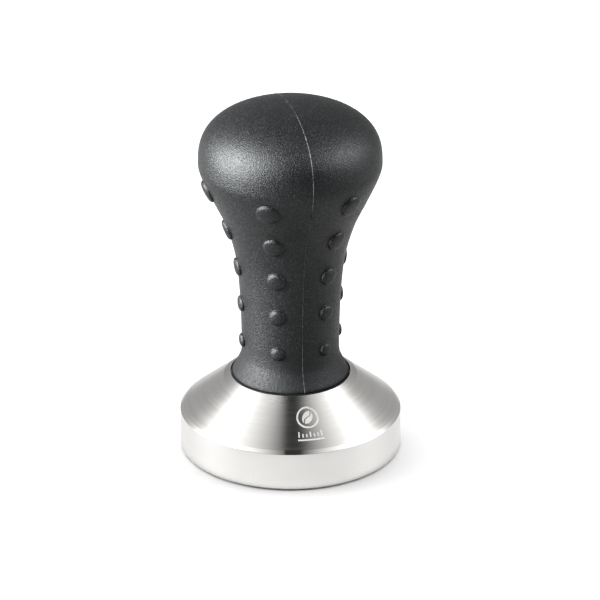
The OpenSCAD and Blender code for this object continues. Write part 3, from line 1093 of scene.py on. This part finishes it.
def make_floor():
    """A white table, and a patch of it under the base, which is all that reflections see of it."""
    material = floor_white()
    half, z = FLOOR_HALF, -FLOOR_GAP * MM
    floor = flat_stage("floor", [(-half, -half, z), (half, -half, z), (half, half, z), (-half, half, z)],
                       material)
    floor.visible_glossy = False
    rim = [Vector(at(PATCH_R, 2 * math.pi * k / PATCH_STEPS, PATCH_LIFT - FLOOR_GAP)) * MM
           for k in range(PATCH_STEPS)]
    return floor, flat_stage("contact_patch", rim, material)


def blend(nodes, links, share, light, other):
    """One light by its share, and the other by the rest."""
    rest = math_node(nodes, links, "SUBTRACT", 1.0, share)
    return math_node(nodes, links, "ADD", math_node(nodes, links, "MULTIPLY", light, share),
                     math_node(nodes, links, "MULTIPLY", other, rest))


def ceiling_light(nodes, links, x):
    ramp = nodes.new("ShaderNodeValToRGB")
    stops = ramp.color_ramp.elements
    stops.remove(stops[1])
    for i, (place, light) in enumerate(CEILING):
        stop = stops.new((place + 1) / 2) if i else stops[0]
        stop.color = (light / CEILING_MOST,) * 3 + (1,)
    links.new(map_range(nodes, links, x, -1.0, 1.0, 0.0, 1.0), ramp.inputs[0])
    return math_node(nodes, links, "MULTIPLY", ramp.outputs[0], CEILING_MOST)


def wall_light(nodes, links, x, y, z):
    sideways = math_node(nodes, links, "DIVIDE", math_node(nodes, links, "MULTIPLY", x, x),
                         sum_of_squares(nodes, links, x, y))
    sideways = math_node(nodes, links, "POWER", sideways, WALL_SIDE_POWER)
    fade = map_range(nodes, links, z, *SIDES_FADE, 0.0, 1.0)
    sideways = math_node(nodes, links, "MULTIPLY", sideways, fade)
    beside = map_range(nodes, links, x, *LEFT_TO_RIGHT, WALL_LEFT, WALL_RIGHT)
    facing = map_range(nodes, links, y, *FRONT_TO_BACK, WALL_FRONT, WALL_BACK)
    return math_node(nodes, links, "ADD", facing, math_node(nodes, links, "MULTIPLY", sideways, beside))


def table_light(nodes, links, x, y):
    across = map_range(nodes, links, x, -1.0, 1.0, TABLE_LEFT, TABLE_RIGHT)
    along = map_range(nodes, links, y, *NEAR_TO_FAR, TABLE_NEAR, TABLE_FAR)
    return math_node(nodes, links, "MULTIPLY", across, along)


def make_world():
    """A light tent over a stand-in for the white table, which reflections don't see."""
    world = bpy.data.worlds.new("studio")
    world.use_nodes = True
    nodes, links = world.node_tree.nodes, world.node_tree.links
    split = nodes.new("ShaderNodeSeparateXYZ")
    links.new(nodes.new("ShaderNodeTexCoord").outputs["Generated"], split.inputs[0])
    x, y, z = split.outputs
    overhead = map_range(nodes, links, z, *WALL_TO_CEILING, 0.0, 1.0)
    walls = wall_light(nodes, links, x, y, z)
    light = blend(nodes, links, overhead, ceiling_light(nodes, links, x), walls)
    below = map_range(nodes, links, z, *TABLE_TO_WALL, 1.0, 0.0)
    light = blend(nodes, links, below, table_light(nodes, links, x, y), light)
    nodes["Background"].inputs["Color"].default_value = (1.0, 1.0, 1.0, 1.0)
    links.new(light, nodes["Background"].inputs["Strength"])
    bpy.context.scene.world = world


def make_camera():
    """A long lens, one metre away and 24 degrees above the table, aimed for the photograph's framing."""
    elevation = math.radians(24.29)
    distance = 1.0
    middle = Vector((0, 0, 0.045))
    aim = Vector((0.0025, -0.0017, 0.0412))
    data = bpy.data.cameras.new("camera")
    data.sensor_width = 36
    data.lens = 230.9
    data.clip_start = 0.01
    data.clip_end = 20
    camera = bpy.data.objects.new("camera", data)
    camera.location = middle + distance * Vector((0, -math.cos(elevation), math.sin(elevation)))
    camera.rotation_euler = (aim - camera.location).to_track_quat("-Z", "Y").to_euler()
    bpy.context.scene.collection.objects.link(camera)
    bpy.context.scene.camera = camera


def lit_only(light, name, state, things):
    """Limit a light to the things (INCLUDE), or to everything but them (EXCLUDE)."""
    group = bpy.data.collections.new(name)
    for thing in things:
        group.objects.link(thing)
    for entry in group.collection_objects:
        entry.light_linking.link_state = state
    light.light_linking.receiver_collection = group


def make_lights(table, base, mark):
    """Softboxes on both sides for the handle, and a broad one above for the table and the mark."""
    left = softbox("key_left", (-0.93, -0.28, 0.37), 1.5, size=(1.4, 1.77), radiance=26.5,
                   colour=(0.96, 0.985, 1.0))
    right = softbox("key_right", (0.80, -0.06, 0.59), 1.5, size=(0.72, 0.72), radiance=15.0,
                    colour=(0.93, 0.975, 1.0))
    above = softbox("above_floor", (-0.06, 0.24, 0.90), 1.5, size=(1.4, 1.4), radiance=2.5)
    lit_only(left, "not_lit_by_left", "EXCLUDE", [*table, base, mark])
    lit_only(right, "not_lit_by_right", "EXCLUDE", [*table, base, mark])
    lit_only(above, "lit_by_above", "INCLUDE", [*table, mark])


make_camera()
make_world()
make_skin()
make_stud()
make_insert()
make_washer()
dress_core()
make_lights(make_floor(), make_base(), make_mark())

view = bpy.context.scene.view_settings
view.view_transform = "Standard"
view.look = "Medium High Contrast"
